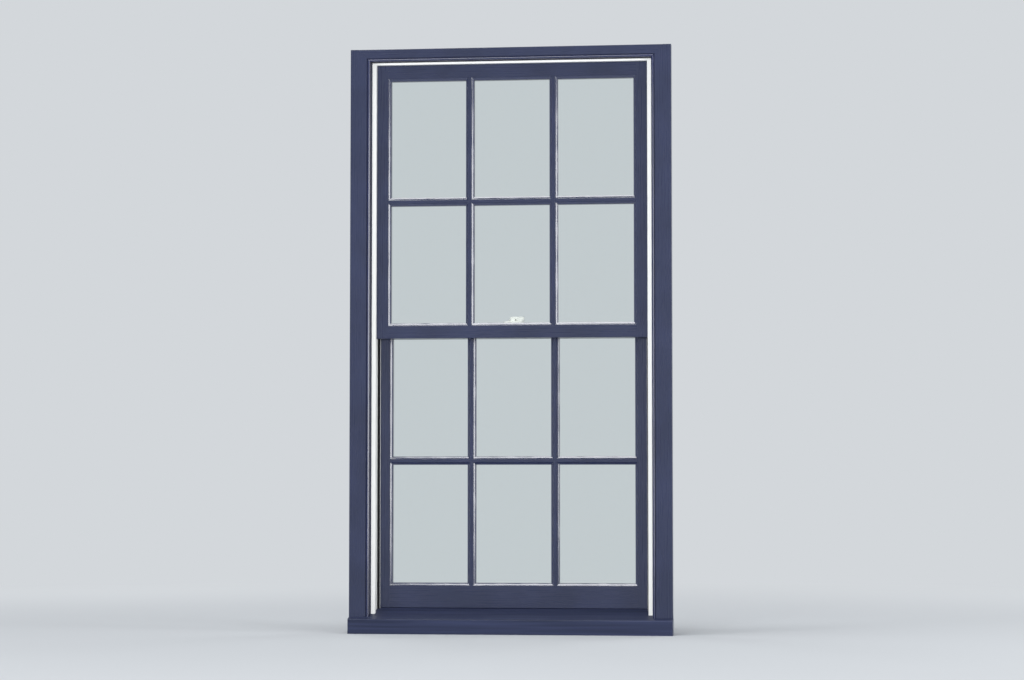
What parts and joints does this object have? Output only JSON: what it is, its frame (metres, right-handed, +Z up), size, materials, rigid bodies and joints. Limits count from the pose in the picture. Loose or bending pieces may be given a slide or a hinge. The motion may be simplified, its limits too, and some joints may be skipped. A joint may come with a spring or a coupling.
{
  "type": "sash window",
  "caption": "Double-hung sash window in a casing and sill: two glazed sashes slide up and down in vinyl jamb liners, with a cam lock at the meeting rails.",
  "frame": {"origin": "middle of the sill's flat underside, centred on the width and the depth of the whole window", "axes": "+X to the right seen from the street, +Y from the street into the room, +Z up along the jambs"},
  "size_m": [1.016, 0.172, 1.8427],
  "materials": {
    "painted_wood": "dark navy satin-gloss paint",
    "glazing_putty": "painted putty",
    "glass": "clear float glass",
    "white_vinyl": "satin extruded vinyl",
    "weatherstrip": "matte foam-filled strip",
    "balance_steel": "zinc plated",
    "nylon": "moulded nylon",
    "white_enamel": "white baked enamel",
    "screw_steel": "zinc plated"
  },
  "bodies": {
    "window_frame": {"sill": "painted_wood", "jamb_left": "painted_wood", "jamb_right": "painted_wood", "head_jamb": "painted_wood", "casing_left": "painted_wood", "casing_right": "painted_wood", "head_casing": "painted_wood", "stop_left": "painted_wood", "stop_right": "painted_wood", "head_stop": "painted_wood", "jamb_liner_left": "white_vinyl", "jamb_liner_right": "white_vinyl", "head_liner": "white_vinyl", "head_weatherstrip": "weatherstrip", "balance_tubes": "balance_steel", "balance_bushes": "nylon", "balance_screws": "screw_steel"},
    "upper_sash": {"upper_top_rail": "painted_wood", "upper_check_rail": "painted_wood", "upper_stile_left": "painted_wood", "upper_stile_right": "painted_wood", "upper_bar_left": "painted_wood", "upper_bar_right": "painted_wood", "upper_cross_bars": "painted_wood", "upper_putty": "glazing_putty", "upper_pane_1": "glass", "upper_pane_2": "glass", "upper_pane_3": "glass", "upper_pane_4": "glass", "upper_pane_5": "glass", "upper_pane_6": "glass", "upper_balance_rods": "balance_steel", "upper_balance_shoes": "nylon", "keeper": "white_enamel", "keeper_screws": "screw_steel"},
    "lower_sash": {"lower_bottom_rail": "painted_wood", "lower_check_rail": "painted_wood", "lower_stile_left": "painted_wood", "lower_stile_right": "painted_wood", "lower_bar_left": "painted_wood", "lower_bar_right": "painted_wood", "lower_cross_bars": "painted_wood", "lower_putty": "glazing_putty", "lower_pane_1": "glass", "lower_pane_2": "glass", "lower_pane_3": "glass", "lower_pane_4": "glass", "lower_pane_5": "glass", "lower_pane_6": "glass", "lower_balance_rods": "balance_steel", "lower_balance_shoes": "nylon", "sill_weatherstrip": "weatherstrip", "check_weatherstrip": "weatherstrip", "lock_base": "white_enamel", "lock_screws": "screw_steel", "sash_lifts": "white_enamel", "sash_lift_screws": "screw_steel"},
    "lock_lever": {"lock_lever": "white_enamel", "lock_cam": "white_enamel"}
  },
  "joints": [
    {"name": "upper_sash_slide", "type": "slide", "parent": "window_frame", "child": "upper_sash", "axis": [0, 0, -1], "range_m": [0, 0.74]},
    {"name": "lower_sash_slide", "type": "slide", "parent": "window_frame", "child": "lower_sash", "axis": [0, 0, 1], "range_m": [0, 0.74]},
    {"name": "lock_lever_turn", "type": "hinge", "parent": "lower_sash", "child": "lock_lever", "pos_m": [0, 0.04, 0.97567], "axis": [0, 0, 1], "range_deg": [0, 170]}
  ]
}
